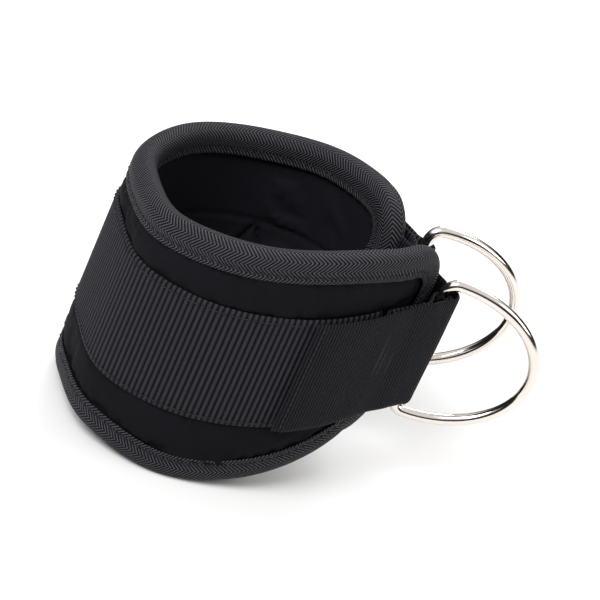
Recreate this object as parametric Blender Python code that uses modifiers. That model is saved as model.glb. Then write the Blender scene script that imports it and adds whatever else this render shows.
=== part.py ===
"""Padded ankle cuff with two D-rings: foam wrap, bound edges, webbing strap and a hook-and-loop flap.

Frame: +Z runs up the leg, +X points to the ring end, -Y is the near side that carries the flap.
The wrap is one wall that follows a plan curve. A place on it is (s, z, off): s along the wall from the
near end, z up, off outward from the middle of the foam. All lengths below are millimetres.
"""
import math

import bmesh
import bpy
import numpy as np
from mathutils import Matrix, Vector

MM = 0.001
GAP = 0.35                      # clearance kept between touching pieces

# Plan of the wrap at mid height, from the near end round the back to the far end.
WRAP_PLAN = [
    (55, -13.5), (39, -31.5), (14, -43.5), (-16, -43.5), (-42.5, -30), (-54.5, -7),
    (-58, 17.5), (-44.5, 40), (-21, 51), (7, 48), (28, 32), (41.5, 10),
]
LEAN = 0.16                     # the cuff's top leans this far to the rings, per mm of height
FLARE = 0.0004                  # and its foot spreads across Y by this share per mm
MID_HEIGHT = 50.0
ORIGIN = (21.85, 2.34)          # plan point under the middle of the whole object

# Heights at even stations along the wall, near end to far end.
RIM_HEIGHTS = [101, 104, 100, 97.5, 97, 98.5, 97.5, 99.5, 99.5]
BASE_HEIGHTS = [36, 13, 4.2, 8.5, 9, 4.2, 4.2, 10, 21]
STRAP_HEIGHTS = [62, 57, 54, 54.5, 57.5, 56, 57, 59, 62]

CORNER = 15.0                   # rounded corners at the wrap's two ends
FOAM = 5.0
SKIN = 0.8                      # outer cover and lining
BIND = 0.8                      # binding tape
BIND_GAP = 0.5                  # the faceted binding needs more clearance round its bends
BIND_COVER = 6.3                # how far the binding reaches in from the edge
STRAP_WIDTH = 50.0
WEB = 1.6                       # webbing
TAPE = 1.2                      # hook tape and loop tape
TAPE_WIDTH = 46.0
TAB_WIDTH = 46.5

# Middles of the layers, outward from the middle of the foam.
SKIN_OFF = FOAM / 2 + GAP + SKIN / 2
BIND_OFF = SKIN_OFF + SKIN / 2 + BIND_GAP + BIND / 2
STRAP_OFF = SKIN_OFF + SKIN / 2 + GAP + WEB / 2
LOOP_OFF = STRAP_OFF + WEB / 2 + GAP + TAPE / 2
HOOK_OFF = LOOP_OFF + TAPE + GAP
FLAP_OFF = HOOK_OFF + TAPE / 2 + GAP + WEB / 2

# Rings: the bar stands in the webbing and the bow stands out from it.
WIRE = 4.6
RING_HEIGHT = 60.5              # between wire centres
RING_DEPTH = 45.5
RING_CORNER = 5.0
FRONT_BAR = (64.5, -16.5)
FRONT_TURN = 1.5                # degrees from +X to where the ring points
BACK_BAR = (54, 6)
BACK_TURN = 12.5
TAB_RADIUS = WIRE / 2 + GAP + WEB / 2
FOLD_RADIUS = TAB_RADIUS + WEB + GAP

# Places along the wall, from its near end.
NEAR_TAB_END = 19.0
NEAR_STRAP_END = 24.0
FAR_STRAP_END = 13.0            # from the far end
FAR_TAB_END = 22.5
CROSS_OFF = -1.0                # where the closing strap leaves the far end
FRONT_HEIGHT = 61.5             # middles of the two rings
BACK_HEIGHT = 70.0
TAPE_START = 24.0
TAPE_END = 45.0
FLAP_END = 47.0
FLAP_BEND = 24.0                # where the flap's two links meet
TAB_STRAIGHT = 9.0              # a tab's two layers run straight from here
FRONT_WRAP = 205.0              # degrees that the front tab turns round its bar
BACK_WRAP = (10.0, -190.0)      # and the back tab, from and to
AXIS_FOOT = 20.0                # heights that set the back hinge's line
AXIS_TOP = 90.0
RING_AXIS_TOP = 100.0
END_CROWDING = 1.25             # sheet cells get shorter towards the wrap's ends

CUFF = "ankle_cuff"


# ---------------------------------------------------------------- curves and the wall

def smooth(points, samples):
    """Catmull-Rom curve through the points, evenly sampled in its parameter."""
    pts = np.array(points, float)
    ends = np.vstack([2 * pts[0] - pts[1], pts, 2 * pts[-1] - pts[-2]])
    u = np.linspace(0, len(pts) - 1, samples)
    i = np.minimum(u.astype(int), len(pts) - 2)
    f = (u - i)[:, None]
    a, b, c, d = ends[i], ends[i + 1], ends[i + 2], ends[i + 3]
    bend = 2 * a - 5 * b + 4 * c - d
    twist = 3 * b - a - 3 * c + d
    return 0.5 * (2 * b + (c - a) * f + bend * f**2 + twist * f**3)


class Run:
    """A plan curve that is measured along its length."""

    def __init__(self, points):
        self.xy = smooth(points, 900)
        steps = np.hypot(*np.diff(self.xy, axis=0).T)
        self.arc = np.concatenate([[0], np.cumsum(steps)])
        self.length = float(self.arc[-1])

    def point(self, s):
        return np.array([np.interp(s, self.arc, self.xy[:, k]) for k in (0, 1)])

    def side(self, s):
        """Unit direction to the left of the run at s."""
        inside = min(max(s, 0.0), self.length)
        ahead = self.point(min(inside + 2, self.length)) - self.point(max(inside - 2, 0))
        ahead /= np.hypot(*ahead)
        return np.array([-ahead[1], ahead[0]])

    def at(self, s, off=0.0):
        """Plan point at s, moved left by off; straight on past either end."""
        inside = min(max(s, 0.0), self.length)
        left = self.side(inside)
        ahead = np.array([left[1], -left[0]])
        return self.point(inside) + ahead * (s - inside) + left * off


WALL = Run(WRAP_PLAN)
MIDDLE = WALL.length / 2


def stand(xy, z):
    """World position, in metres, of a plan point carried to height z on the leaning cuff."""
    lift = z - MID_HEIGHT
    x = xy[0] + LEAN * lift - ORIGIN[0]
    y = xy[1] * (1 - FLARE * lift) - ORIGIN[1]
    return Vector((x, y, z)) * MM


def on_wall(s, z, off):
    return stand(WALL.at(s, off), z)


def station_height(stations, s):
    rows = smooth([(h, 0) for h in stations], 200)[:, 0]
    return float(np.interp(s / WALL.length, np.linspace(0, 1, 200), rows))


def corner_drop(s):
    """How much the rounded corners take off the wall's height at s."""
    from_end = min(s, WALL.length - s)
    if from_end >= CORNER:
        return 0.0
    return CORNER - math.sqrt(max(CORNER**2 - (CORNER - from_end) ** 2, 0.0))


def rim(s):
    return station_height(RIM_HEIGHTS, s) - corner_drop(s)


def base(s):
    return station_height(BASE_HEIGHTS, s) + corner_drop(s)


def strap_mid(s):
    return station_height(STRAP_HEIGHTS, s)


# ---------------------------------------------------------------- making objects

def collection(name):
    made = bpy.data.collections.new(name)
    bpy.context.scene.collection.children.link(made)
    return made


def material(name, color, roughness, metallic=0.0):
    made = bpy.data.materials.new(name)
    made.use_nodes = True
    shader = made.node_tree.nodes["Principled BSDF"]
    shader.inputs["Base Color"].default_value = (*color, 1)
    shader.inputs["Roughness"].default_value = roughness
    shader.inputs["Metallic"].default_value = metallic
    return made


def add_object(name, data, look, axis=None):
    """Links an object; axis is the empty on whose joint axis it turns."""
    obj = bpy.data.objects.new(name, data)
    data.materials.append(look)
    PARTS.objects.link(obj)
    if axis:
        obj.parent = axis
        obj.matrix_parent_inverse = axis.matrix_world.inverted()
    return obj


def add_axis(name, foot, head):
    """Empty whose Z lies along a joint axis, from foot to head."""
    empty = bpy.data.objects.new(name, None)
    turn = (head - foot).to_track_quat("Z", "Y")
    empty.matrix_world = Matrix.Translation(foot) @ turn.to_matrix().to_4x4()
    empty.empty_display_size = 0.02
    PARTS.objects.link(empty)
    return empty


def add_sheet(name, across, up, spot, thickness, look, axis=None):
    """Sheet of across x up cells whose corners lie at spot(u, v), thickened evenly both ways."""
    bm = bmesh.new()
    bmesh.ops.create_grid(bm, x_segments=across, y_segments=up, size=0.5)
    for vert in bm.verts:
        vert.co = spot(vert.co.x + 0.5, vert.co.y + 0.5)
    mesh = bpy.data.meshes.new(name)
    bm.to_mesh(mesh)
    bm.free()
    obj = add_object(name, mesh, look, axis)
    solid = obj.modifiers.new("thickness", "SOLIDIFY")
    solid.thickness = thickness * MM
    solid.offset = 0
    solid.use_even_offset = True
    mesh.shade_smooth()
    return obj


def mix(a, b, share):
    return a + (b - a) * share


# ---------------------------------------------------------------- the padded wrap

def wall_sheet(name, split, end, off, thickness, look, axis=None):
    """Full-height sheet of one half of the wall at a layer, from the split to its rounded end."""
    def spot(u, v):
        s = mix(split, end, 1 - (1 - u) ** END_CROWDING)
        return on_wall(s, mix(base(s) + GAP, rim(s) - GAP, v), off)
    return add_sheet(name, 24, 3, spot, thickness, look, axis)


def edge_places(split, end):
    """Places (s, z) along one half's edge: out along the rim, down its end and back along the base."""
    ways = [mix(split, end, 1 - (1 - u) ** END_CROWDING) for u in np.linspace(0, 1, 33)]
    top = [(s, rim(s)) for s in ways]
    bottom = [(s, base(s)) for s in ways]
    return top + bottom[::-1]


def add_binding(name, split, end, axis=None):
    """Tape folded over the edge of one half: a U section carried along the edge."""
    path = Run(edge_places(split, end))
    inward = 1 if end < split else -1
    straight = BIND_COVER / (2 * BIND_COVER + math.pi * BIND_OFF)

    def section(v):
        """Depth in from the edge and offset off the foam's middle, along the tape's width."""
        if v < straight:
            return BIND_COVER * (1 - v / straight), -BIND_OFF
        if v > 1 - straight:
            return BIND_COVER * (1 - (1 - v) / straight), BIND_OFF
        turn = math.pi * (v - straight) / (1 - 2 * straight)
        return -BIND_OFF * math.sin(turn), -BIND_OFF * math.cos(turn)

    def spot(u, v):
        depth, off = section(v)
        s, z = path.at(u * path.length, inward * depth)
        return on_wall(s, z, off)

    return add_sheet(name, 50, 7, spot, BIND, TAPE_LOOK, axis)


def trim_foot(obj, cutter):
    """Cuts the binding flat where the cuff stands."""
    cut = obj.modifiers.new("foot", "BOOLEAN")
    cut.object = cutter
    cut.operation = "DIFFERENCE"
    cut.solver = "EXACT"


# ---------------------------------------------------------------- webbing

def web_on_wall(name, start, end, off, width, thickness, look, across, axis=None):
    """Webbing or tape laid on the wall at a layer, about the strap's middle height."""
    def spot(u, v):
        s = mix(start, end, u)
        return on_wall(s, strap_mid(s) + (v - 0.5) * width, off)
    return add_sheet(name, across, 2, spot, thickness, look, axis)


def web_along(name, points, heights, width, thickness, look, across, axis=None):
    """Webbing that stands on edge along plan points, its middle going from one height to another."""
    run = Run(points)

    def spot(u, v):
        middle = mix(heights[0], heights[1], u)
        return stand(run.at(u * run.length), middle + (v - 0.5) * width)
    return add_sheet(name, across, 2, spot, thickness, look, axis)


def arc(centre, radius, start, end, steps):
    """Points on a circle from one direction to another, in degrees."""
    turns = np.radians(np.linspace(start, end, steps))
    return [(centre[0] + radius * math.cos(t), centre[1] + radius * math.sin(t)) for t in turns]


def heading(direction):
    return math.degrees(math.atan2(direction[1], direction[0]))


# The near strap leaves the wall and runs straight to the front ring's bar.
NEAR_LAST = 56
NEAR_RUN = Run([FRONT_BAR] + [WALL.at(s, FLAP_OFF - FOLD_RADIUS) for s in (25, 35, 45, NEAR_LAST)])
BACK_TAB_OFF = STRAP_OFF + WEB + GAP + (WEB + GAP) / 2
FAR_LAST = 25
FAR_RUN = Run([BACK_BAR] + [WALL.at(WALL.length - s, BACK_TAB_OFF) for s in (9, 17, FAR_LAST)])
NEAR_OUT = heading(NEAR_RUN.side(0))            # outward direction at the front bar
FAR_OUT = heading(-FAR_RUN.side(0)) + 360       # and at the back bar
NEAR_SHIFT = NEAR_RUN.length - NEAR_LAST        # a run place is this far past its wall place
FAR_SHIFT = FAR_RUN.length - FAR_LAST


def near_height(s):
    """Middle height of the near strap at s from the front bar."""
    return strap_mid(s - NEAR_SHIFT)


def touch(centre, radius, point, way):
    """Direction from the centre to where a line from the point touches the circle."""
    reach = Vector(point) - Vector(centre)
    return heading(reach) + way * math.degrees(math.acos(radius / reach.length))


def add_tabs(near_axis):
    """Webbing loops that hold each ring's bar: out along the strap, round the bar and back."""
    end = NEAR_TAB_END + NEAR_SHIFT
    low = TAB_RADIUS - WEB - GAP
    outer = [NEAR_RUN.at(s, TAB_RADIUS) for s in np.linspace(end, TAB_STRAIGHT, 6)]
    bend = arc(FRONT_BAR, TAB_RADIUS, NEAR_OUT, NEAR_OUT + FRONT_WRAP, 8)
    inner = [NEAR_RUN.at(s, low) for s in np.linspace(TAB_STRAIGHT, end, 6)]
    heights = [near_height(end / 2)] * 2
    web_along("front_ring_tab", outer + bend + inner, heights, TAB_WIDTH, WEB, RING_WEB, 44, near_axis)

    end = FAR_TAB_END + FAR_SHIFT
    half = (WEB + GAP) / 2
    outer = [FAR_RUN.at(s, -half) for s in np.linspace(end, TAB_STRAIGHT, 6)]
    bend = arc(BACK_BAR, TAB_RADIUS, FAR_OUT + BACK_WRAP[0], FAR_OUT + BACK_WRAP[1], 8)
    inner = [FAR_RUN.at(s, half) for s in np.linspace(TAB_STRAIGHT, end, 6)]
    heights = [BACK_HEIGHT - 1] * 2
    web_along("back_ring_tab", outer + bend + inner, heights, TAB_WIDTH, WEB, RING_WEB, 44)


def add_closure(near_axis, root_axis, tip_axis):
    """Strap from the far end, through the front ring and back over the near side as a flap."""
    start = WALL.at(WALL.length + BIND_OFF + BIND / 2 + GAP + WEB / 2, CROSS_OFF)
    fold = arc(FRONT_BAR, FOLD_RADIUS, touch(FRONT_BAR, FOLD_RADIUS, start, -1), NEAR_OUT, 9)
    reach = Vector(fold[0]) - Vector(start)
    stop = Vector(start) + reach * (1 - GAP / reach.length)
    middle = (Vector(start) + stop) / 2
    web_along("crossing_strip", [tuple(start), tuple(middle), tuple(stop)],
              (BACK_HEIGHT, FRONT_HEIGHT), STRAP_WIDTH, WEB, STRAP_WEB, 4)
    web_along("closure_fold", fold, [FRONT_HEIGHT] * 2, STRAP_WIDTH, WEB, STRAP_WEB, 12, near_axis)
    end = FLAP_END + NEAR_SHIFT
    for name, start_s, end_s, axis in (("flap_root", GAP, FLAP_BEND - GAP / 2, root_axis),
                                       ("flap_tip", FLAP_BEND + GAP / 2, end, tip_axis)):
        points = [NEAR_RUN.at(s, FOLD_RADIUS) for s in np.linspace(start_s, end_s, 7)]
        heights = near_height(start_s), near_height(end_s)
        web_along(name, points, heights, STRAP_WIDTH, WEB, STRAP_WEB, 8, axis)
    web_on_wall("hook_tape", TAPE_START, TAPE_END, HOOK_OFF, TAPE_WIDTH, TAPE, HOOK_LOOK, 5, tip_axis)
    web_on_wall("loop_tape", TAPE_START, TAPE_END, LOOP_OFF, TAPE_WIDTH, TAPE, LOOP_LOOK, 5, near_axis)


# ---------------------------------------------------------------- rings

def ring_outline():
    """D outline between wire centres: a straight bar with rounded ends and an elliptical bow."""
    half = RING_HEIGHT / 2
    level = half - RING_CORNER
    upper = arc((RING_CORNER, level), RING_CORNER, 180, 90, 4)
    lower = arc((RING_CORNER, -level), RING_CORNER, -90, -180, 4)
    swing = np.linspace(0, math.pi, 21)[1:-1]
    bow = [(RING_CORNER + (RING_DEPTH - RING_CORNER) * math.sin(t), half * math.cos(t)) for t in swing]
    return [(0, 0)] + upper + bow + lower


def add_ring(name, turn, axis):
    """Bent wire D whose bar lies on its axis empty and whose bow points along the turn."""
    curve = bpy.data.curves.new(name, "CURVE")
    curve.dimensions = "3D"
    curve.bevel_depth = WIRE / 2 * MM
    curve.bevel_resolution = 2
    points = ring_outline()
    spline = curve.splines.new("POLY")
    spline.points.add(len(points) - 1)
    for place, (out, up) in zip(spline.points, points):
        place.co = (out * MM, 0, up * MM, 1)
    spline.use_cyclic_u = True
    obj = add_object(name, curve, CHROME, axis)
    up = axis.matrix_world.to_3x3() @ Vector((0, 0, 1))
    out = Vector((math.cos(math.radians(turn)), math.sin(math.radians(turn)), 0))
    side = up.cross(out).normalized()
    frame = Matrix((side.cross(up), side, up)).transposed().to_4x4()
    frame.translation = axis.matrix_world.translation
    obj.matrix_world = frame
    return obj


# ---------------------------------------------------------------- the cuff

for old in list(bpy.data.objects):
    bpy.data.objects.remove(old)
PARTS = collection(CUFF)
CUTTERS = collection(CUFF + "_cutters")

FOAM_LOOK = material("foam", (0.05, 0.05, 0.055), 0.95)
COVER_LOOK = material("cover_fabric", (0.012, 0.012, 0.015), 0.75)
LINING_LOOK = material("lining_fabric", (0.018, 0.018, 0.022), 0.85)
TAPE_LOOK = material("binding_tape", (0.02, 0.02, 0.023), 0.7)
STRAP_WEB = material("strap_webbing", (0.015, 0.015, 0.018), 0.6)
RING_WEB = material("ring_tab_webbing", (0.013, 0.013, 0.016), 0.65)
HOOK_LOOK = material("hook_tape", (0.02, 0.02, 0.02), 0.7)
LOOP_LOOK = material("loop_tape", (0.015, 0.015, 0.015), 0.95)
CHROME = material("chrome", (0.75, 0.73, 0.70), 0.12, 1.0)

hinge_off = STRAP_OFF + WEB / 2 + GAP
hinge_foot = on_wall(MIDDLE, AXIS_FOOT, hinge_off)
near_axis = add_axis("near_half_axis", hinge_foot, on_wall(MIDDLE, AXIS_TOP, hinge_off))
front_axis = add_axis("front_ring_axis", stand(FRONT_BAR, FRONT_HEIGHT), stand(FRONT_BAR, RING_AXIS_TOP))
back_axis = add_axis("back_ring_axis", stand(BACK_BAR, BACK_HEIGHT), stand(BACK_BAR, RING_AXIS_TOP))
flap_out = FOLD_RADIUS + WEB / 2 + GAP / 2
root_place = NEAR_RUN.at(GAP / 2, flap_out)
root_axis = add_axis("flap_root_axis", stand(root_place, FRONT_HEIGHT), stand(root_place, RING_AXIS_TOP))
tip_place = NEAR_RUN.at(FLAP_BEND, flap_out)
tip_foot = stand(tip_place, near_height(FLAP_BEND))
tip_axis = add_axis("flap_tip_axis", tip_foot, stand(tip_place, RING_AXIS_TOP))

bpy.ops.mesh.primitive_cube_add(size=0.3, location=(0, 0, -0.15))
ground = bpy.context.object
ground.name = "ground_cutter"
ground.hide_render = True
ground.display_type = "WIRE"
for home in list(ground.users_collection):
    home.objects.unlink(ground)
CUTTERS.objects.link(ground)

for side, split, end, strap_end, axis in (
        ("near", MIDDLE - GAP, 0, NEAR_STRAP_END, near_axis),
        ("far", MIDDLE + GAP, WALL.length, WALL.length - FAR_STRAP_END, None)):
    wall_sheet("foam_" + side, split, end, 0, FOAM, FOAM_LOOK, axis)
    wall_sheet("outer_cover_" + side, split, end, SKIN_OFF, SKIN, COVER_LOOK, axis)
    wall_sheet("lining_" + side, split, end, -SKIN_OFF, SKIN, LINING_LOOK, axis)
    trim_foot(add_binding("edge_binding_" + side, split, end, axis), ground)
    web_on_wall("base_strap_" + side, split, strap_end, STRAP_OFF, STRAP_WIDTH, WEB, STRAP_WEB, 18, axis)

add_tabs(near_axis)
add_closure(near_axis, root_axis, tip_axis)
add_ring("front_ring", FRONT_TURN, front_axis)
add_ring("back_ring", BACK_TURN, back_axis)
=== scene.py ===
"""Looks of the padded ankle cuff: sewn pad, herringbone binding, ribbed webbing, stitches and rings.

Plan lengths are millimetres, as in the CAD: a place on the wrap is (s, z, off), with s along the wall
from the near end, z up and off outward from the middle of the foam.
"""
import math

import bmesh
import bpy
import numpy as np
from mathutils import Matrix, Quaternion, Vector


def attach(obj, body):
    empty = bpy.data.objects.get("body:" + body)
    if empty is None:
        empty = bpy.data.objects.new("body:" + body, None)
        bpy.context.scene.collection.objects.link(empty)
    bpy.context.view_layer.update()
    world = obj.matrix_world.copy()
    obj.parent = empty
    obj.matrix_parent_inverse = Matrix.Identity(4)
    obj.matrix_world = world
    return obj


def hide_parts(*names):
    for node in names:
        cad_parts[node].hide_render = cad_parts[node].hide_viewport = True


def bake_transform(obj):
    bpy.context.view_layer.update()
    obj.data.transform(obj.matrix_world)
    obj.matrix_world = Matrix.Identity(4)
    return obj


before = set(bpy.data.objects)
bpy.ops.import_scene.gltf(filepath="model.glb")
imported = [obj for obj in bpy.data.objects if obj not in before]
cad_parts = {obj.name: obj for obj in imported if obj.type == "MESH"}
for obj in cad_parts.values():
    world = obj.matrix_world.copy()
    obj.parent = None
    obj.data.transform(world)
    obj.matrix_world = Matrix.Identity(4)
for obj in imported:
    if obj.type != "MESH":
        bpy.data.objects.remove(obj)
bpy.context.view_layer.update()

MM = 0.001

# The wrap and its layers, the same driving values as the CAD.
WRAP_PLAN = [
    (55, -13.5), (39, -31.5), (14, -43.5), (-16, -43.5), (-42.5, -30), (-54.5, -7),
    (-58, 17.5), (-44.5, 40), (-21, 51), (7, 48), (28, 32), (41.5, 10),
]
LEAN = 0.16
FLARE = 0.0004
MID_HEIGHT = 50.0
ORIGIN = (21.85, 2.34)
RIM_HEIGHTS = [101, 104, 100, 97.5, 97, 98.5, 97.5, 99.5, 99.5]
BASE_HEIGHTS = [36, 13, 4.2, 8.5, 9, 4.2, 4.2, 10, 21]
STRAP_HEIGHTS = [62, 57, 54, 54.5, 57.5, 56, 57, 59, 62]
CORNER = 15.0
PAD_OUT = 3.6                   # outer face of the cover
BIND_OFF = 4.55
BIND = 0.8
BIND_COVER = 6.3
STRAP_OFF = 4.8
WEB = 1.5
STRAP_WIDTH = 50.0
TAB_WIDTH = 46.5
TAPE_WIDTH = 46.0
LOOP_OFF = 6.25
HOOK_OFF = 7.05
FLAP_OFF = 9.85
WIRE = 4.6
RING_HEIGHT = 60.5
RING_DEPTH = 45.5
RING_CORNER = 5.0
FRONT_BAR = (64.5, -16.5)
FRONT_TURN = 1.5
BACK_BAR = (54, 6)
BACK_TURN = 12.5
TAB_RADIUS = 3.45
FOLD_RADIUS = 5.4
LAYER = 1.95                    # webbing and the gap to the next layer
FRONT_HEIGHT = 61.5
BACK_HEIGHT = 70.0
NEAR_TAB_END = 19.0
NEAR_STRAP_END = 24.0
FAR_STRAP_END = 13.0
FAR_TAB_END = 22.5
TAPE_START = 24.0
TAPE_END = 45.0
FLAP_END = 47.0
FLAP_BEND = 24.0
CROSS_OFF = -1.0

RIB = 2.05                      # rib pitch of the base strap
FINE_RIB = 1.25                 # and of the closing strap
RIB_DEPTH = 0.42
FINE_DEPTH = 0.22
STITCH = 2.6                    # stitch pitch
STITCH_LENGTH = STITCH * 0.72
THREAD = 0.32                   # thread radius
SEAM = 22.8                     # rows that sew the strap on, from its middle
CREASE = 5.0                    # fold across the lining, from the strap's middle
TUCK = 233.0                    # where the lining is gathered, along the wall
GATHER = 5.2                    # pitch of the small gathers along the binding's seams
BIND_SEAM = 2.6                 # the binding's stitch rows, in from its lips
RING_AXIS_TOP = 100.0           # height that sets the lean of the rings' axes
HERRING_COLUMN = 3.6
HERRING_PITCH = 1.45

# The pad's cloth simulation.
SIM_COLS = 121
SIM_ROWS = 37
SIM_FRAMES = 20
PUFF_LEAST = -0.6
PUFF_MOST = 1.5

# The pad's visible grid.
PAD_COLS = 231
PAD_ROWS = 73


# ---------------------------------------------------------------- curves and the wall

def smooth(points, samples):
    """Catmull-Rom curve through the points."""
    pts = np.array(points, float)
    ends = np.vstack([2 * pts[0] - pts[1], pts, 2 * pts[-1] - pts[-2]])
    u = np.linspace(0, len(pts) - 1, samples)
    i = np.minimum(u.astype(int), len(pts) - 2)
    f = (u - i)[:, None]
    a, b, c, d = ends[i], ends[i + 1], ends[i + 2], ends[i + 3]
    bend = 2 * a - 5 * b + 4 * c - d
    twist = 3 * b - a - 3 * c + d
    return 0.5 * (2 * b + (c - a) * f + bend * f**2 + twist * f**3)


class Run:
    """A plan curve measured along its length, with its unit left directions."""

    def __init__(self, points, samples=1800, reach=2.0):
        self.xy = smooth(points, samples)
        steps = np.hypot(*np.diff(self.xy, axis=0).T)
        self.arc = np.concatenate([[0], np.cumsum(steps)])
        self.length = float(self.arc[-1])
        ahead = (self.point(np.clip(self.arc + reach, 0, self.length))
                 - self.point(np.clip(self.arc - reach, 0, self.length)))
        ahead /= np.hypot(*ahead.T)[:, None]
        self.left = np.stack([-ahead[:, 1], ahead[:, 0]], 1)

    def point(self, s):
        return np.stack([np.interp(s, self.arc, self.xy[:, k]) for k in (0, 1)], -1)

    def at(self, s, off=0.0):
        """Plan points at s, moved left by off; straight on past either end."""
        s = np.asarray(s, float)
        inside = np.clip(s, 0, self.length)
        left = np.stack([np.interp(inside, self.arc, self.left[:, k]) for k in (0, 1)], -1)
        ahead = np.stack([left[..., 1], -left[..., 0]], -1)
        past = (s - inside)[..., None]
        return self.point(inside) + ahead * past + left * np.asarray(off, float)[..., None]


WALL = Run(WRAP_PLAN)
MIDDLE = WALL.length / 2


def stand(xy, z):
    """World positions, in metres, of plan points carried to height z on the leaning cuff."""
    z = np.asarray(z, float)
    lift = z - MID_HEIGHT
    x = xy[..., 0] + LEAN * lift - ORIGIN[0]
    y = xy[..., 1] * (1 - FLARE * lift) - ORIGIN[1]
    return np.stack([x, y, z + 0 * x], -1) * MM


def on_wall(s, z, off):
    return stand(WALL.at(s, off), z)


def station_height(stations, s):
    rows = smooth([(h, 0) for h in stations], 400)[:, 0]
    return np.interp(np.asarray(s) / WALL.length, np.linspace(0, 1, 400), rows)


def corner_drop(s):
    from_end = np.clip(np.minimum(s, WALL.length - np.asarray(s)), 0, CORNER)
    return CORNER - np.sqrt(np.maximum(CORNER**2 - (CORNER - from_end) ** 2, 0))


def rim(s):
    return station_height(RIM_HEIGHTS, s) - corner_drop(s)


def base(s):
    return station_height(BASE_HEIGHTS, s) + corner_drop(s)


def strap_mid(s):
    return station_height(STRAP_HEIGHTS, s)


def ridge(x, width):
    """Bell of height 1 at x = 0."""
    return np.exp(-(np.asarray(x) / width) ** 2)


def arc(centre, radius, start, end, steps):
    turns = np.radians(np.linspace(start, end, steps))
    return [(centre[0] + radius * math.cos(t), centre[1] + radius * math.sin(t)) for t in turns]


def heading(direction):
    return math.degrees(math.atan2(direction[1], direction[0]))


NEAR_LAST = 56
NEAR_RUN = Run([FRONT_BAR] + [WALL.at(s, FLAP_OFF - FOLD_RADIUS) for s in (25, 35, 45, NEAR_LAST)])
BACK_TAB_OFF = STRAP_OFF + 1.5 * LAYER
FAR_LAST = 25
FAR_RUN = Run([BACK_BAR] + [WALL.at(WALL.length - s, BACK_TAB_OFF) for s in (9, 17, FAR_LAST)])
NEAR_OUT = heading(NEAR_RUN.left[0])
FAR_OUT = heading(-FAR_RUN.left[0]) + 360
NEAR_SHIFT = NEAR_RUN.length - NEAR_LAST
FAR_SHIFT = FAR_RUN.length - FAR_LAST


def near_height(s):
    return strap_mid(np.asarray(s) - NEAR_SHIFT)


# ---------------------------------------------------------------- materials

def make_material(name, color, roughness, metallic=0.0, specular=0.5):
    made = bpy.data.materials.new(name)
    made.use_nodes = True
    shader = made.node_tree.nodes["Principled BSDF"]
    shader.inputs["Base Color"].default_value = (*color, 1)
    shader.inputs["Roughness"].default_value = roughness
    shader.inputs["Metallic"].default_value = metallic
    shader.inputs["Specular IOR Level"].default_value = specular
    return made, made.node_tree, shader


def sums(tree, operation, a, b=None):
    """Math node on sockets or numbers."""
    node = tree.nodes.new("ShaderNodeMath")
    node.operation = operation
    for socket, value in zip(node.inputs, (a, b)):
        if value is None:
            continue
        if isinstance(value, (int, float)):
            socket.default_value = value
        else:
            tree.links.new(value, socket)
    return node.outputs[0]


def tape_axes(tree):
    """UV in millimetres: along and across the cloth."""
    uv = tree.nodes.new("ShaderNodeUVMap")
    split = tree.nodes.new("ShaderNodeSeparateXYZ")
    tree.links.new(uv.outputs[0], split.inputs[0])
    return split.outputs[0], split.outputs[1]


def wave(tree, phase):
    """0 to 1 and back once per unit of phase."""
    swing = sums(tree, "SINE", sums(tree, "MULTIPLY", phase, 2 * math.pi))
    return sums(tree, "ADD", sums(tree, "MULTIPLY", swing, 0.5), 0.5)


def speckle(tree, scale, detail=3.0, roughness=0.6):
    """Noise fixed to the piece."""
    coords = tree.nodes.new("ShaderNodeTexCoord")
    noise = tree.nodes.new("ShaderNodeTexNoise")
    noise.inputs["Scale"].default_value = scale
    noise.inputs["Detail"].default_value = detail
    noise.inputs["Roughness"].default_value = roughness
    tree.links.new(coords.outputs["Object"], noise.inputs["Vector"])
    return noise.outputs[0]


def tint(tree, factor, dark, light, shader):
    """Base colour from dark to light by the factor."""
    mixer = tree.nodes.new("ShaderNodeMix")
    mixer.data_type = "RGBA"
    mixer.inputs["A"].default_value = (*dark, 1)
    mixer.inputs["B"].default_value = (*light, 1)
    tree.links.new(factor, mixer.inputs["Factor"])
    tree.links.new(mixer.outputs["Result"], shader.inputs["Base Color"])


def bump(tree, height, distance, strength, shader):
    node = tree.nodes.new("ShaderNodeBump")
    node.inputs["Distance"].default_value = distance
    node.inputs["Strength"].default_value = strength
    tree.links.new(height, node.inputs["Height"])
    tree.links.new(node.outputs[0], shader.inputs["Normal"])


def webbing_look(name, pitch, dark, light):
    """Ribbed webbing: each rib is a row of yarn floats that step from rib to rib. Its colour holds painted
    light: a painted highlight on the rib crests and painted shade in the troughs.
    """
    made, tree, shader = make_material(name, dark, 0.55, specular=0.06)
    along, across = tape_axes(tree)
    rib = sums(tree, "DIVIDE", along, pitch)
    crest = sums(tree, "POWER", sums(tree, "ABSOLUTE", sums(tree, "SINE", sums(
        tree, "MULTIPLY", rib, math.pi))), 1.5)
    step = sums(tree, "MULTIPLY", sums(tree, "FLOOR", rib), 0.5)
    floats = wave(tree, sums(tree, "ADD", sums(tree, "DIVIDE", across, 1.1), step))
    yarn = sums(tree, "ADD", sums(tree, "MULTIPLY", floats, 0.12), 0.88)
    grain = sums(tree, "ADD", sums(tree, "MULTIPLY", speckle(tree, 900), 0.6), 0.65)
    # painted light: rib crests lighter and troughs darker in the base colour, following the rib shape
    painted_rib_light = sums(tree, "MULTIPLY", sums(tree, "MULTIPLY", crest, yarn), grain)
    tint(tree, painted_rib_light, dark, light, shader)
    bump(tree, sums(tree, "MULTIPLY", crest, yarn), 0.0002, 0.7, shader)
    return made


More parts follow.
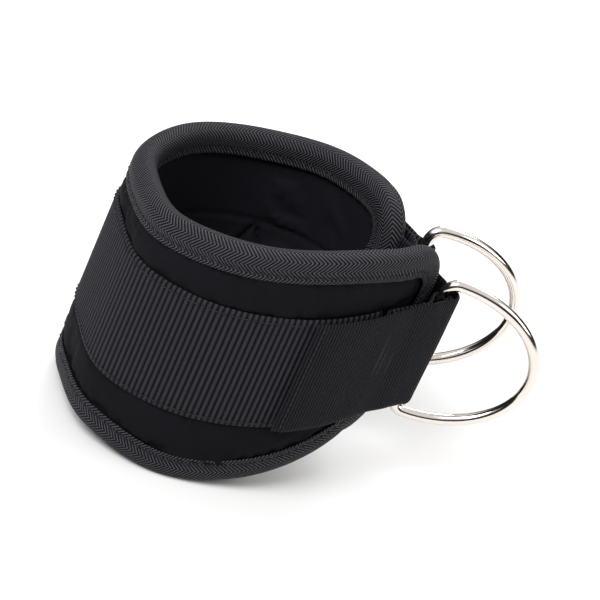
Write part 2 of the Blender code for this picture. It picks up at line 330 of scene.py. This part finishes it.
def herringbone_look(name):
    """Herringbone tape: diagonal ribs that turn back at every column along its length, drawn as a painted
    highlight on the ribs over near-black cloth.
    """
    made, tree, shader = make_material(name, (0.02, 0.02, 0.024), 0.6, specular=0.1)
    along, across = tape_axes(tree)
    column = sums(tree, "PINGPONG", across, HERRING_COLUMN)
    phase = sums(tree, "DIVIDE", sums(tree, "ADD", along, column), HERRING_PITCH)
    twill = sums(tree, "POWER", wave(tree, phase), 1.8)
    cross = wave(tree, sums(tree, "DIVIDE", sums(tree, "SUBTRACT", along, column), 0.9))
    yarn = sums(tree, "MULTIPLY", twill, sums(tree, "ADD", sums(tree, "MULTIPLY", cross, 0.4), 0.6))
    grain = sums(tree, "ADD", sums(tree, "MULTIPLY", speckle(tree, 700), 0.7), 0.6)
    # painted highlight: the twill ridges are much lighter in colour than the near-black tape between them
    tint(tree, sums(tree, "MULTIPLY", yarn, grain), (0.001, 0.001, 0.0015), (0.088, 0.088, 0.104), shader)
    bump(tree, yarn, 0.00035, 0.8, shader)
    return made


def knit_look(name, dark, light, scale, roughness, depth):
    """Soft face cloth: fine knit with slow changes of tone."""
    made, tree, shader = make_material(name, dark, roughness, specular=0.05)
    fine = speckle(tree, scale, 2.0, 0.7)
    slow = speckle(tree, 28, 2.0)
    tone = sums(tree, "ADD", sums(tree, "MULTIPLY", fine, 0.5), sums(tree, "MULTIPLY", slow, 0.5))
    tint(tree, tone, dark, light, shader)
    bump(tree, fine, depth, 0.5, shader)
    return made


def thread_look():
    made, tree, shader = make_material("sewing_thread", (0.03, 0.03, 0.034), 0.5, specular=0.15)
    tint(tree, speckle(tree, 2500), (0.004, 0.004, 0.005), (0.028, 0.028, 0.032), shader)
    return made


def ring_look():
    """Polished plating with faint wipe marks and a trace of cast texture."""
    made, tree, shader = make_material("polished_ring", (0.74, 0.69, 0.64), 0.1, metallic=1.0)
    marks = speckle(tree, 160, 4.0)
    rough = sums(tree, "ADD", sums(tree, "MULTIPLY", marks, 0.12), 0.05)
    tree.links.new(rough, shader.inputs["Roughness"])
    tint(tree, speckle(tree, 40), (0.68, 0.63, 0.58), (0.80, 0.75, 0.70), shader)
    bump(tree, speckle(tree, 420, 2.0), 0.00004, 0.3, shader)
    return made


# straps: the dark and light colours are the painted trough shade and the painted rib-crest highlight
STRAP_LOOK = webbing_look("ribbed_webbing", RIB, (0.001, 0.001, 0.0015), (0.033, 0.033, 0.041))
FINE_LOOK = webbing_look("fine_webbing", FINE_RIB, (0.003, 0.003, 0.004), (0.0185, 0.0185, 0.0235))
BIND_LOOK = herringbone_look("herringbone_tape")
COVER_LOOK = knit_look("cover_cloth", (0.0036, 0.0036, 0.0048), (0.0095, 0.0095, 0.0124),
                       1400, 0.75, 0.0001)
LINING_LOOK = knit_look("lining_cloth", (0.0048, 0.0047, 0.0066), (0.0125, 0.0123, 0.0168),
                        1100, 0.85, 0.00012)
LOOP_LOOK = knit_look("loop_pile", (0.006, 0.006, 0.007), (0.030, 0.030, 0.032), 1500, 0.9, 0.0006)
HOOK_LOOK = knit_look("hook_stems", (0.008, 0.008, 0.008), (0.040, 0.040, 0.040), 900, 0.5, 0.0008)
THREAD_LOOK = thread_look()
RING_LOOK = ring_look()


# ---------------------------------------------------------------- mesh building

def finish_mesh(name, points, faces, uvs, look):
    """Object from points, faces and one UV per point, its faces turned outward."""
    mesh = bpy.data.meshes.new(name)
    mesh.from_pydata([tuple(p) for p in points], [], faces)
    layer = mesh.uv_layers.new(name="UVMap")
    corners = np.empty(len(mesh.loops), int)
    mesh.loops.foreach_get("vertex_index", corners)
    layer.data.foreach_set("uv", np.asarray(uvs, np.float32)[corners].ravel())
    shell = bmesh.new()
    shell.from_mesh(mesh)
    bmesh.ops.recalc_face_normals(shell, faces=shell.faces)
    shell.to_mesh(mesh)
    shell.free()
    mesh.shade_smooth()
    mesh.set_sharp_from_angle(angle=math.radians(50))
    mesh.materials.append(look)
    obj = bpy.data.objects.new(name, mesh)
    bpy.context.scene.collection.objects.link(obj)
    return obj


def slab_faces(cols, rows):
    """Quads of a closed slab: outer grid, inner grid and the edges between them."""
    outer = np.arange(cols * rows).reshape(cols, rows)
    inner = outer + cols * rows
    a, b, c, d = outer[:-1, :-1], outer[1:, :-1], outer[1:, 1:], outer[:-1, 1:]
    faces = np.stack([a, b, c, d], -1).reshape(-1, 4)
    back = np.stack([a, d, c, b], -1).reshape(-1, 4) + cols * rows
    loop = np.concatenate([outer[:, 0], outer[-1, 1:], outer[-2::-1, -1], outer[0, -2:0:-1]])
    ahead = np.roll(loop, -1)
    shift = cols * rows
    edge = np.stack([loop, loop + shift, ahead + shift, ahead], -1)
    return np.vstack([faces, back, edge]).tolist()


def slab(name, along, across, spot, look):
    """Closed sheet: spot(u, v, side) gives the points of its two faces over the grid of places."""
    u, v = np.meshgrid(along, across, indexing="ij")
    points = np.vstack([spot(u, v, side).reshape(-1, 3) for side in (1, -1)])
    uvs = np.vstack([np.stack([u.ravel(), v.ravel()], 1)] * 2)
    return finish_mesh(name, points, slab_faces(len(along), len(across)), uvs, look)


def wander(a, b, seed):
    """Smooth wandering between about -1 and 1 over two lengths in millimetres."""
    total = 0
    for k, turn in enumerate((0.9, 2.3, 3.7, 5.2)):
        pitch = 1 / (1 + 0.6 * k)
        total = total + pitch * np.sin(a * math.cos(turn + seed) / (2.2 * pitch)
                                       + b * math.sin(turn + seed) / (2.2 * pitch) + seed * (k + 2.7))
    return total / 2


def rib_rise(s, pitch, depth):
    """How far a ribbed face stands above or below its mean level."""
    return depth * (np.abs(np.sin(np.pi * s / pitch)) ** 0.7 - 0.6)


def rib_places(start, end, pitch):
    """Places along a webbing, several to a rib."""
    return np.linspace(start, end, max(int(abs(end - start) / pitch * 7), 8))


def web_rows(width):
    """Places across a webbing, closer together at its rounded selvedges."""
    u = np.linspace(-1, 1, 17)
    return np.sign(u) * (1 - (1 - np.abs(u)) ** 1.7) * width / 2


def web_half(v, width, thickness):
    """Half thickness across a webbing with rounded selvedges."""
    near = np.clip((width / 2 - np.abs(v)) / 1.2, 0, 1)
    return thickness / 2 * np.sqrt(np.clip(1 - (1 - near) ** 2, 0.1, 1))


def ribbon(name, run, start, end, off, middle, width, look, pitch=RIB, depth=RIB_DEPTH, sway=0.0):
    """Ribbed webbing on edge along a run; off(s) is its offset and middle(s) its middle height."""
    def spot(s, v, side):
        half = web_half(v, width, WEB)
        inside = np.clip((width / 2 - np.abs(v)) / 1.5, 0, 1)
        rib = rib_rise(s, pitch, depth) * inside
        lift = sway * wander(s * 0.25, v * 0.25, 1.7)
        return stand(run.at(s, off(s) + side * (half + rib) + lift), middle(s) + v)
    return slab(name, rib_places(start, end, pitch), web_rows(width), spot, look)


def stitch_row(name, spot, places):
    """Row of separate thread stitches. spot(p, lift) is the surface point at p, raised by lift."""
    steps = np.linspace(-0.5, 0.5, 6)
    lifts = np.array([-0.25, 0.12, 0.2, 0.2, 0.12, -0.25])
    sizes = np.array([0.5, 0.95, 1, 1, 0.95, 0.5]) * THREAD * MM
    p = np.asarray(places)[:, None] + steps * STITCH_LENGTH
    centre = spot(p, 0 * p + lifts)
    ahead = spot(p + 0.1, 0 * p) - spot(p - 0.1, 0 * p)
    up = spot(p, 0 * p + 0.2) - spot(p, 0 * p)
    ahead /= np.linalg.norm(ahead, axis=-1, keepdims=True)
    side = np.cross(ahead, up)
    side /= np.linalg.norm(side, axis=-1, keepdims=True)
    up = np.cross(side, ahead)
    turn = np.arange(6) * math.pi / 3
    ring = up[..., None, :] * np.cos(turn)[:, None] + side[..., None, :] * np.sin(turn)[:, None]
    points = centre[..., None, :] + ring * sizes[:, None, None]
    count = len(places)
    index = np.arange(count * 36).reshape(count, 6, 6)
    nxt = np.roll(index, -1, axis=2)
    walls = np.stack([index[:, :-1], nxt[:, :-1], nxt[:, 1:], index[:, 1:]], -1).reshape(-1, 4).tolist()
    caps = index[:, 0, ::-1].tolist() + index[:, -1].tolist()
    uvs = np.zeros((count * 36, 2))
    return finish_mesh(name, points.reshape(-1, 3), walls + caps, uvs, THREAD_LOOK)


# ---------------------------------------------------------------- the padded wrap

def edge_loop():
    """Places (s, z) round the whole edge: from the back of the base by the near end and the rim."""
    quarter = np.radians(np.linspace(0, 90, 10))
    length = WALL.length
    places = [(s, base(s)) for s in np.linspace(MIDDLE, CORNER + 3, 50)]
    places += [(CORNER * (1 - math.sin(t)), base(CORNER) + CORNER * (1 - math.cos(t))) for t in quarter]
    top, low = float(rim(CORNER)), float(base(CORNER))
    places += [(0, z) for z in np.linspace(low + CORNER + 4, top - CORNER - 4, 14)]
    places += [(CORNER * (1 - math.cos(t)), top - CORNER * (1 - math.sin(t))) for t in quarter]
    places += [(s, rim(s)) for s in np.linspace(CORNER + 3, length - CORNER - 3, 96)]
    top, low = float(rim(length - CORNER)), float(base(length - CORNER))
    places += [(length - CORNER * (1 - math.sin(t)), top - CORNER * (1 - math.cos(t))) for t in quarter]
    places += [(length, z) for z in np.linspace(top - CORNER - 4, low + CORNER + 4, 14)]
    places += [(length - CORNER * (1 - math.cos(t)), low + CORNER * (1 - math.sin(t))) for t in quarter]
    places += [(s, base(s)) for s in np.linspace(length - CORNER - 3, MIDDLE, 50)]
    return [(float(s), float(z)) for s, z in places]


EDGE = Run(edge_loop(), 6000, 3.0)
STRAIGHT = BIND_COVER
TURN = math.pi * BIND_OFF
WIDE = 2 * STRAIGHT + TURN      # the whole tape, from lip to lip


def from_edge(s, z):
    """Depth in from the nearest edge of the wall."""
    return np.minimum(np.minimum(z - base(s), rim(s) - z), np.minimum(s, WALL.length - s) + 0 * z)


def puffed():
    """Cloth simulation of the pad: how far its two faces puff out under pressure between seams."""
    s, t = np.meshgrid(np.linspace(0, WALL.length, SIM_COLS), np.linspace(0, 1, SIM_ROWS), indexing="ij")
    z = base(s) + (rim(s) - base(s)) * t
    outer = on_wall(s, z, PAD_OUT)
    inner = on_wall(s, z, -PAD_OUT)
    start = np.vstack([outer.reshape(-1, 3), inner.reshape(-1, 3)])
    mesh = bpy.data.meshes.new("pad_simulation")
    mesh.from_pydata([tuple(p) for p in start], [], slab_faces(SIM_COLS, SIM_ROWS))
    pad = bpy.data.objects.new("pad_simulation", mesh)
    bpy.context.scene.collection.objects.link(pad)
    shell = bmesh.new()
    shell.from_mesh(mesh)
    bmesh.ops.recalc_face_normals(shell, faces=shell.faces)
    shell.to_mesh(mesh)
    shell.free()
    bound = from_edge(s, z) < BIND_COVER - 1
    sewn = np.abs(z - strap_mid(s) - CREASE) < 1.6
    under_strap = np.abs(z - strap_mid(s)) < STRAP_WIDTH / 2 - 1
    held = np.concatenate([(bound | under_strap).ravel(), (bound | sewn).ravel()])
    group = pad.vertex_groups.new(name="held")
    group.add([int(i) for i in np.flatnonzero(held)], 1.0, "REPLACE")
    cloth = pad.modifiers.new("cloth", "CLOTH")
    settings = cloth.settings
    settings.quality = 6
    settings.mass = 0.2
    settings.tension_stiffness = 12
    settings.compression_stiffness = 12
    settings.shear_stiffness = 4
    settings.bending_stiffness = 0.15
    settings.use_pressure = True
    settings.uniform_pressure_force = 5
    settings.shrink_min = -0.045
    settings.vertex_group_mass = "held"
    settings.effector_weights.gravity = 0
    cloth.point_cache.frame_start = 1
    cloth.point_cache.frame_end = SIM_FRAMES
    scene = bpy.context.scene
    for step in range(1, SIM_FRAMES + 1):
        scene.frame_set(step)
    settled = pad.evaluated_get(bpy.context.evaluated_depsgraph_get()).to_mesh()
    moved = np.empty(len(start) * 3)
    settled.vertices.foreach_get("co", moved)
    shift = (moved.reshape(-1, 3) - start) / MM
    way = (outer - inner).reshape(-1, 3)
    way /= np.linalg.norm(way, axis=1)[:, None]
    way = np.vstack([way, -way])
    puff = np.clip((shift * way).sum(1), PUFF_LEAST, PUFF_MOST)
    bpy.data.objects.remove(pad)
    scene.frame_set(1)
    return puff.reshape(2, SIM_COLS, SIM_ROWS)


def sample(grid, s, t):
    """Smoothed reading of the simulated grid at places on the wall."""
    cols, rows = grid.shape
    x = np.clip(s / WALL.length * (cols - 1), 0, cols - 1.001)
    y = np.clip(t * (rows - 1), 0, rows - 1.001)
    i, j = x.astype(int), y.astype(int)
    f, g = x - i, y - j
    f, g = f * f * (3 - 2 * f), g * g * (3 - 2 * g)
    low = grid[i, j] * (1 - f) + grid[i + 1, j] * f
    high = grid[i, j + 1] * (1 - f) + grid[i + 1, j + 1] * f
    return low * (1 - g) + high * g


def pad_level(s, z, t, side, puff):
    """Distance of the pad's face from the foam's middle."""
    depth = from_edge(s, z)
    level = PAD_OUT + sample(puff[0 if side > 0 else 1], s, t)
    seam = ridge(depth - BIND_COVER - 0.6, 1.3)
    gathers = 0.5 + 0.5 * np.sin(2 * np.pi * s / GATHER + 1.4 * wander(s * 0.2, z * 0.05, 0.4))
    level = level - 0.45 * seam
    level = level - 0.4 * gathers * ridge(depth - BIND_COVER - 2.5, 2.6)
    if side < 0:
        drop = strap_mid(s) + CREASE - z
        level = level - 1.3 * ridge(drop, 1.3)
        tuck = np.abs(s - TUCK) - 0.42 * drop
        level = level - 2.2 * ridge(tuck, 1.2) * np.clip(drop / 3, 0, 1) * np.clip((26 - drop) / 10, 0, 1)
        spread = 1 + 0.3 * np.maximum(drop, 0)
        level = level + 0.8 * ridge((s - TUCK) / spread, 2) * np.clip(drop / 5, 0, 1)
    else:
        under = np.clip((STRAP_WIDTH / 2 + 1 - np.abs(z - strap_mid(s))) / 2, 0, 1)
        level = level * (1 - under) + np.minimum(level, PAD_OUT) * under
    level = level + 0.18 * wander(s * 0.12, z * 0.12, 2.2 + side)
    return level


def make_pad(puff):
    turn = np.linspace(0, np.pi, PAD_COLS)
    even = np.linspace(0, 1, PAD_COLS)
    ways = (0.5 * (1 - np.cos(turn)) * 0.35 + even * 0.65) * WALL.length

    def spot(s, t, side):
        z = base(s) + (rim(s) - base(s)) * t
        return on_wall(s, z, side * pad_level(s, z, t, side, puff))

    u, v = np.meshgrid(ways, np.linspace(0, 1, PAD_ROWS), indexing="ij")
    points = np.vstack([spot(u, v, side).reshape(-1, 3) for side in (1, -1)])
    uvs = np.vstack([np.stack([u.ravel(), v.ravel() * 96], 1)] * 2)
    faces = slab_faces(PAD_COLS, PAD_ROWS)
    pad = finish_mesh("sewn_pad", points, faces, uvs, COVER_LOOK)
    pad.data.materials.append(LINING_LOOK)
    centres = np.arange(len(pad.data.polygons))
    quads = (PAD_COLS - 1) * (PAD_ROWS - 1)
    inner = (centres >= quads) & (centres < 2 * quads)
    pad.data.polygons.foreach_set("material_index", inner.astype(int))
    return pad


def bind_section(v):
    """Whether v across the tape is on a flat leg, with its depth in and its side of the foam."""
    flat = (v < STRAIGHT) | (v > STRAIGHT + TURN)
    depth_flat = np.where(v < STRAIGHT, STRAIGHT - v, v - STRAIGHT - TURN)
    off_flat = np.where(v < STRAIGHT, -1.0, 1.0)
    turn = np.clip((v - STRAIGHT) / BIND_OFF, 0, math.pi)
    depth = np.where(flat, depth_flat, -np.sin(turn))
    off = np.where(flat, off_flat, -np.cos(turn))
    return flat, depth, off


def on_binding(p, v, lift):
    """Point on the tape's middle, raised off it by lift; p along the edge, v across the tape."""
    flat, depth, off = bind_section(v)
    radius = BIND_OFF + lift
    soft = 0.22 * wander(p * 0.16, v * 0.1, 3.1)
    from_lip = np.abs(v - WIDE / 2) - WIDE / 2
    pull = 0.32 * ridge(from_lip + BIND_SEAM, 1.1)
    gather = 0.13 * np.sin(2 * np.pi * p / GATHER + v) * ridge(from_lip + 1, 2.5)
    radius = radius + soft - pull + gather
    inward = np.where(flat, depth, depth * radius)
    s, z = np.moveaxis(EDGE.at(p, -inward), -1, 0)
    spot = on_wall(s, z, off * radius)
    spot[..., 2] = np.maximum(spot[..., 2], (0.05 + 0.3 * (BIND / 2 - lift)) * MM)
    return spot


def make_binding():
    across = np.concatenate([np.linspace(0, STRAIGHT, 16), STRAIGHT + np.linspace(0, TURN, 19)[1:-1],
                             STRAIGHT + TURN + np.linspace(0, STRAIGHT, 16)])
    along = np.linspace(0, EDGE.length, 760)

    def spot(p, v, side):
        lip = np.clip(np.minimum(v, WIDE - v) / 0.5, 0.3, 1)
        return on_binding(p, v, side * BIND / 2 * lip)
    return slab("edge_binding", along, across, spot, BIND_LOOK)


# ---------------------------------------------------------------- webbing paths

def closure_path():
    """Plan points of the closing strap and the arc lengths where its parts end."""
    start = WALL.at(WALL.length + BIND_OFF + BIND / 2 + 0.35 + WEB / 2, CROSS_OFF)
    reach = np.array(start) - FRONT_BAR
    touch = heading(reach) - math.degrees(math.acos(FOLD_RADIUS / np.hypot(*reach)))
    fold = arc(FRONT_BAR, FOLD_RADIUS, touch, NEAR_OUT, 14)
    cross = [tuple(start + (np.array(fold[0]) - start) * f) for f in np.linspace(0, 1, 20)[:-1]]
    end = FLAP_END + NEAR_SHIFT
    flap = [tuple(NEAR_RUN.at(s, FOLD_RADIUS)) for s in np.linspace(0, end, 50)[1:]]
    run = Run(cross + fold + flap, 3000, 0.8)
    folded = float(np.hypot(*(np.array(fold[0]) - start)))
    flap_start = folded + FOLD_RADIUS * math.radians(touch - NEAR_OUT)
    return run, folded, flap_start


def closure_off(p):
    """How far the flap settles in from its CAD layer, pressed on the tapes and down at its tip."""
    pressed = np.clip((p - FLAP_START - 8) / 10, 0, 1)
    tip = np.clip((p - CLOSURE.length + 4) / 3.5, 0, 1)
    return -1.6 * pressed * pressed * (3 - 2 * pressed) - 0.9 * tip * tip * (3 - 2 * tip)


def closure_height(p):
    crossing = BACK_HEIGHT + (FRONT_HEIGHT - BACK_HEIGHT) * np.clip(p / FOLDED, 0, 1)
    return np.where(p < FLAP_START, crossing, near_height(np.maximum(p - FLAP_START, 0)))


def tab_path(run, end, outer, inner, centre, start_turn, end_turn):
    out = [tuple(run.at(s, outer)) for s in np.linspace(end, 7, 12)]
    bend = arc(centre, TAB_RADIUS, start_turn, end_turn, 22)
    back = [tuple(run.at(s, inner)) for s in np.linspace(7, end, 12)]
    return Run(out + bend + back, 2400, 0.8)


def make_tab(name, run, height):
    return ribbon(name, run, 0, run.length, np.zeros_like, lambda s: height + 0 * s, TAB_WIDTH, STRAP_LOOK,
                  sway=0.12)


# ---------------------------------------------------------------- rings

def make_ring(name, centre, turn, height, node, body):
    """Welded round wire: straight bar in the webbing, corners and an elliptical bow."""
    half = RING_HEIGHT / 2
    level = half - RING_CORNER
    upper = arc((RING_CORNER, level), RING_CORNER, 180, 95, 9)
    lower = arc((RING_CORNER, -level), RING_CORNER, -95, -180, 9)
    swing = np.linspace(0, math.pi, 61)[1:-1]
    bow = [(RING_CORNER + (RING_DEPTH - RING_CORNER) * math.sin(t), half * math.cos(t)) for t in swing]
    bar = [(0, z) for z in np.linspace(-level, level, 14)[1:-1]]
    outline = np.array(upper + bow + lower + bar)
    count = len(outline)
    ahead = np.roll(outline, -1, 0) - np.roll(outline, 1, 0)
    ahead /= np.hypot(*ahead.T)[:, None]
    side = np.stack([ahead[:, 1], -ahead[:, 0]], 1)
    foot = stand(np.array(centre), height)
    up = stand(np.array(centre), RING_AXIS_TOP) - foot
    up /= np.linalg.norm(up)
    out = np.array([math.cos(math.radians(turn)), math.sin(math.radians(turn)), 0])
    across = np.cross(up, out)
    across /= np.linalg.norm(across)
    out = np.cross(across, up)
    turns = np.linspace(0, 2 * np.pi, 25)[:-1]
    weld = 1 + 0.09 * ridge(outline[:, 1] - 4, 1.4) * (outline[:, 0] < 0.1)
    radius = WIRE / 2 * weld[:, None, None]
    ring = radius * (np.cos(turns)[:, None] * side[:, None, :])
    flat = outline[:, None, :] + ring
    height_off = radius[..., 0] * np.sin(turns)
    points = foot + MM * (flat[..., :1] * out + flat[..., 1:] * up + height_off[..., None] * across)
    index = np.arange(count * 24).reshape(count, 24)
    nxt, right = np.roll(index, -1, 0), np.roll(index, -1, 1)
    faces = np.stack([index, nxt, np.roll(nxt, -1, 1), right], -1).reshape(-1, 4).tolist()
    obj = finish_mesh(name, points.reshape(-1, 3), faces, np.zeros((count * 24, 2)), RING_LOOK)
    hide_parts(node)
    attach(obj, body)
    return obj


# ---------------------------------------------------------------- the cuff

def across_hinge(piece):
    """Bakes a piece of the wrap's placement into its mesh."""
    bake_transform(piece)


def closure_point(p, v=0.0, lift=0.0):
    return stand(CLOSURE.at(p, closure_off(p) + lift), closure_height(p) + v)


def closure_piece(name, start, end, look):
    return ribbon(name, CLOSURE, start, end, closure_off, closure_height, STRAP_WIDTH, look,
                  FINE_RIB, FINE_DEPTH, sway=0.15)


BEND_CUT = 14.0                 # flap place where its first piece ends

pad = make_pad(puffed())
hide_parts("foam_near", "foam_far", "outer_cover_near", "outer_cover_far", "lining_near", "lining_far")
across_hinge(pad)

binding = make_binding()
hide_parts("edge_binding_near", "edge_binding_far")
across_hinge(binding)

strap = ribbon("base_strap", WALL, NEAR_STRAP_END, WALL.length - FAR_STRAP_END,
               lambda s: STRAP_OFF + 0 * s, strap_mid,
               STRAP_WIDTH, STRAP_LOOK)
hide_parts("base_strap_near", "base_strap_far")
across_hinge(strap)

around = np.arange(STITCH, EDGE.length - STITCH, STITCH)
for name, v in (("binding_seam_out", WIDE - BIND_SEAM), ("binding_seam_in", BIND_SEAM)):
    row = stitch_row(name, lambda p, lift, v=v: on_binding(p, v + 0 * p, BIND / 2 + lift), around)
    across_hinge(row)
on_strap = np.arange(NEAR_STRAP_END + 24, WALL.length - FAR_STRAP_END - 2, STITCH)
strap_face = STRAP_OFF + WEB / 2 + 0.12
for name, drop in (("strap_seam_top", SEAM), ("strap_seam_low", -SEAM)):
    def strap_spot(s, lift, drop=drop):
        return on_wall(s, strap_mid(s) + drop, strap_face + lift)
    across_hinge(stitch_row(name, strap_spot, on_strap))

near_end = NEAR_TAB_END + NEAR_SHIFT
front_run = tab_path(NEAR_RUN, near_end, TAB_RADIUS, TAB_RADIUS - LAYER, FRONT_BAR,
                     NEAR_OUT, NEAR_OUT + 205)
front_tab = make_tab("front_tab", front_run, float(near_height(near_end / 2)))
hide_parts("front_ring_tab")
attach(front_tab, "near_half")
far_end = FAR_TAB_END + FAR_SHIFT
back_run = tab_path(FAR_RUN, far_end, -LAYER / 2, LAYER / 2, BACK_BAR, FAR_OUT + 10, FAR_OUT - 190)
back_tab = make_tab("back_tab", back_run, BACK_HEIGHT - 1)
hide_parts("back_ring_tab")
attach(back_tab, "far_half")

CLOSURE, FOLDED, FLAP_START = closure_path()
cut = FLAP_START + BEND_CUT
crossing = closure_piece("crossing_strap", 0.0, FOLDED - 1, FINE_LOOK)
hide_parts("crossing_strip")
closure_point(2.0)
closure_point(FOLDED - 3)
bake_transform(crossing)
bend = closure_piece("closure_bend", FOLDED - 1, cut, FINE_LOOK)
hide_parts("closure_fold")
closure_point(FLAP_START - 1.5)
closure_point(FLAP_START + 5)
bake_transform(bend)
flap = closure_piece("closure_flap", cut, CLOSURE.length, FINE_LOOK)
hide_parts("flap_root", "flap_tip")
closure_point(FLAP_START + FLAP_BEND - 5)
closure_point(FLAP_START + FLAP_BEND + 5)
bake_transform(flap)
tip_place = CLOSURE.length - 2.4


def tip_spot(v, lift):
    return closure_point(tip_place + 0 * v, v, WEB / 2 + 0.1 + lift)


tip_seam = stitch_row("flap_tip_seam", tip_spot, np.arange(-22, 22.5, STITCH))
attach(tip_seam, "flap_tip_link")

for name, off, look, slot_name, body in (("loop_tape_pile", LOOP_OFF, LOOP_LOOK, "loop", "near_half"),
                                         ("hook_tape_stems", HOOK_OFF, HOOK_LOOK, "hook", "flap_tip_link")):
    def tape_spot(s, v, side, off=off):
        edge = np.clip((TAPE_WIDTH / 2 - np.abs(v)) / 0.8, 0.35, 1)
        return on_wall(s, strap_mid(s) + v, off + side * 0.36 * edge)
    along = np.linspace(TAPE_START, TAPE_END, 40)
    tape = slab(name, along, web_rows(TAPE_WIDTH), tape_spot, look)
    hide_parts(name.rsplit("_", 1)[0])
    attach(tape, body)

make_ring("front_ring_wire", FRONT_BAR, FRONT_TURN, FRONT_HEIGHT, "front_ring", "front_ring_body")
make_ring("back_ring_wire", BACK_BAR, BACK_TURN, BACK_HEIGHT, "back_ring", "back_ring_body")


# ---------------------------------------------------------------- studio

def add_area(name, place, aim, size, power, color=(1, 1, 1)):
    data = bpy.data.lights.new(name, "AREA")
    data.shape = "RECTANGLE"
    data.size, data.size_y = size
    data.energy = power
    data.color = color
    lamp = bpy.data.objects.new(name, data)
    lamp.location = place
    lamp.rotation_euler = (Vector(aim) - Vector(place)).to_track_quat("-Z", "Y").to_euler()
    bpy.context.scene.collection.objects.link(lamp)


def add_world():
    """Bright dome with a dark band along the horizon for the rings to reflect."""
    world = bpy.data.worlds.new("studio")
    world.use_nodes = True
    tree = world.node_tree
    coords = tree.nodes.new("ShaderNodeTexCoord")
    split = tree.nodes.new("ShaderNodeSeparateXYZ")
    ramp = tree.nodes.new("ShaderNodeValToRGB")
    stops = ramp.color_ramp.elements
    stops[0].position, stops[0].color = 0.0, (0.02, 0.02, 0.022, 1)
    stops[1].position, stops[1].color = 0.62, (1, 1, 1, 1)
    dark = stops.new(0.36)
    dark.color = (0.03, 0.03, 0.032, 1)
    tree.links.new(coords.outputs["Generated"], split.inputs[0])
    tree.links.new(split.outputs["Z"], ramp.inputs[0])
    tree.links.new(ramp.outputs[0], tree.nodes["Background"].inputs["Color"])
    tree.nodes["Background"].inputs["Strength"].default_value = 0.9
    bpy.context.scene.world = world


def add_floor():
    half = 4.0
    mesh = bpy.data.meshes.new("floor")
    mesh.from_pydata([(-half, -half, -0.0003), (half, -half, -0.0003), (half, half, -0.0003),
                      (-half, half, -0.0003)], [], [(0, 1, 2, 3)])
    made, tree, shader = make_material("pale_floor", (0.78, 0.78, 0.78), 0.7)
    tint(tree, speckle(tree, 3), (0.77, 0.77, 0.77), (0.79, 0.79, 0.79), shader)
    mesh.materials.append(made)
    floor = bpy.data.objects.new("floor", mesh)
    bpy.context.scene.collection.objects.link(floor)


def add_camera():
    turn, rise = math.radians(CAMERA_AZIMUTH), math.radians(CAMERA_ELEVATION)
    aim = Vector(CAMERA_AIM)
    back = Vector((math.sin(turn) * math.cos(rise), -math.cos(turn) * math.cos(rise), math.sin(rise)))
    data = bpy.data.cameras.new("camera")
    data.lens = CAMERA_LENS
    data.sensor_width = 36
    camera = bpy.data.objects.new("camera", data)
    camera.rotation_mode = "QUATERNION"
    camera.location = aim + back * CAMERA_DISTANCE
    roll = Quaternion((0, 0, 1), math.radians(CAMERA_ROLL))
    camera.rotation_quaternion = (-back).to_track_quat("-Z", "Y") @ roll
    bpy.context.scene.collection.objects.link(camera)
    bpy.context.scene.camera = camera


CAMERA_AZIMUTH = -3.2
CAMERA_ELEVATION = 31.0
CAMERA_DISTANCE = 1.18
CAMERA_LENS = 182.3
CAMERA_AIM = (-0.0027, 0.0047, 0.0556)
CAMERA_ROLL = 14.1

add_floor()
add_camera()
add_area("key_softbox", (-0.5, -0.5, 1.1), (0, 0, 0.05), (0.9, 0.7), 15)
add_area("rim_softbox", (0.3, 0.9, 0.8), (0, 0, 0.06), (0.9, 0.4), 9)
add_area("side_softbox", (0.9, -0.2, 0.5), (0, 0, 0.06), (0.4, 0.5), 3, (1.0, 0.95, 0.9))
add_world()
bpy.context.scene.view_settings.view_transform = "Standard"
